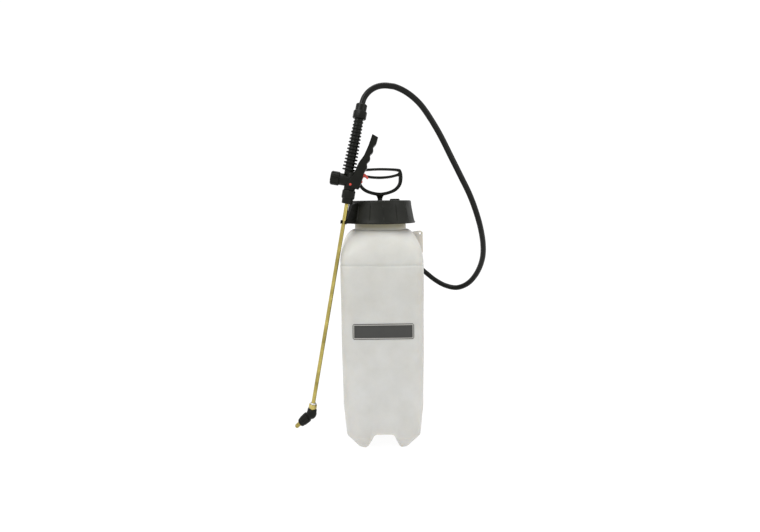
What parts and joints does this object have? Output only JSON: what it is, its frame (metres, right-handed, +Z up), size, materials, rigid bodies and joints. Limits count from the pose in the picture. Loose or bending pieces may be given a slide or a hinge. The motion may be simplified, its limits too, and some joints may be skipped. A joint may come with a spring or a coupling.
{
  "type": "pump sprayer",
  "caption": "Free-standing compression sprayer: translucent tank, hand pump in the screw cap, hose, squeeze-lever handset and brass wand with an angled nozzle.",
  "frame": {"origin": "on the floor under the pump axis, in the middle of the four feet", "axes": "+Z up along the pump rod, -Y out of the labelled front, +X from the stored wand towards the hose loop"},
  "size_m": [0.4295, 0.2694, 0.7503],
  "materials": {
    "tank_plastic": "natural translucent polyethylene with a fine mould grain",
    "label_stock": "plain unprinted label stock",
    "black_plastic": "charcoal moulded plastic, satin",
    "grey_plastic": "natural moulded plastic",
    "seal_rubber": "moulded nitrile rubber",
    "hose_rubber": "extruded black hose, satin",
    "red_plastic": "red moulded plastic",
    "wand_brass": "drawn and turned brass, lightly tarnished",
    "spring_steel": "bright steel"
  },
  "bodies": {
    "tank_unit": {"tank": "tank_plastic", "label": "label_stock", "cap": "black_plastic", "cap_gasket": "seal_rubber", "wand_clip": "black_plastic", "pump_barrel": "grey_plastic", "check_valve": "seal_rubber", "rod_guide": "black_plastic", "relief_body": "black_plastic", "relief_spring": "spring_steel", "outlet_fitting": "black_plastic", "outlet_gasket": "seal_rubber", "outlet_hose_nut": "black_plastic", "dip_tube": "grey_plastic", "dip_strainer": "grey_plastic", "hose": "hose_rubber"},
    "cup_seal": {"piston_cup": "seal_rubber"},
    "pump_rod_set": {"pump_rod": "black_plastic", "pump_handle": "black_plastic", "piston": "grey_plastic", "piston_nut": "wand_brass"},
    "relief_valve": {"relief_knob": "black_plastic", "relief_seal": "seal_rubber"},
    "handset": {"handset_hose_nut": "black_plastic", "handset_body": "black_plastic", "grip_strainer": "grey_plastic", "stem_seal": "seal_rubber", "bonnet": "black_plastic", "bonnet_oring": "seal_rubber", "wand_nut": "black_plastic", "wand_oring": "seal_rubber", "wand_tube": "wand_brass", "wand_collar": "wand_brass", "collar_washer": "spring_steel", "lever_pins": "red_plastic"},
    "lever": {"lever": "black_plastic", "lock_pin": "red_plastic"},
    "lever_lock": {"lever_lock": "red_plastic"},
    "valve_plunger": {"valve_plunger": "wand_brass", "plunger_oring": "seal_rubber", "valve_spring": "spring_steel"},
    "nozzle_elbow": {"nozzle_elbow": "black_plastic"},
    "nozzle_cap": {"nozzle_nut": "black_plastic", "nozzle_gasket": "seal_rubber", "nozzle_tip": "wand_brass"}
  },
  "joints": [
    {"name": "pump_stroke", "type": "slide", "parent": "tank_unit", "child": "cup_seal", "axis": [0, 0, 1], "range_m": [0, 0.28]},
    {"name": "pump_handle_turn", "type": "hinge", "parent": "cup_seal", "child": "pump_rod_set", "pos_m": [0, 0, 0.5], "axis": [0, 0, 1], "continuous": true},
    {"name": "relief_pull", "type": "slide", "parent": "tank_unit", "child": "relief_valve", "axis": [0, 0, 1], "range_m": [0, 0.004], "stiffness_N_per_m": 900, "springref_m": -0.006, "deforming": ["relief_spring"]},
    {"name": "handset_unclip", "type": "slide", "parent": "tank_unit", "child": "handset", "axis": [0, -1, 0], "range_m": [0, 0.08]},
    {"name": "lever_squeeze", "type": "hinge", "parent": "handset", "child": "lever", "pos_m": [-0.06262, -0.066, 0.5425], "axis": [0, -1, 0], "range_deg": [0, 8], "stiffness_Nm_per_rad": 2.5, "springref_deg": -8.59},
    {"name": "lever_lock_flip", "type": "hinge", "parent": "lever", "child": "lever_lock", "pos_m": [-0.04106, -0.066, 0.54827], "axis": [0, 1, 0], "range_deg": [0, 35]},
    {"name": "plunger_lift", "type": "slide", "parent": "handset", "child": "valve_plunger", "axis": [-0.9842, 0, 0.1771], "range_m": [0, 0.0012]},
    {"name": "elbow_swivel", "type": "hinge", "parent": "handset", "child": "nozzle_elbow", "pos_m": [-0.14737, -0.066, 0.07715], "axis": [0.1771, 0, 0.9842], "continuous": true},
    {"name": "nozzle_twist", "type": "hinge", "parent": "nozzle_elbow", "child": "nozzle_cap", "pos_m": [-0.16273, -0.066, 0.06435], "axis": [-0.7683, 0, -0.6401], "range_deg": [0, 270]}
  ],
  "couplings": [
    {"joint": "plunger_lift", "follows": "lever_squeeze", "m_per_rad": 0.008}
  ]
}
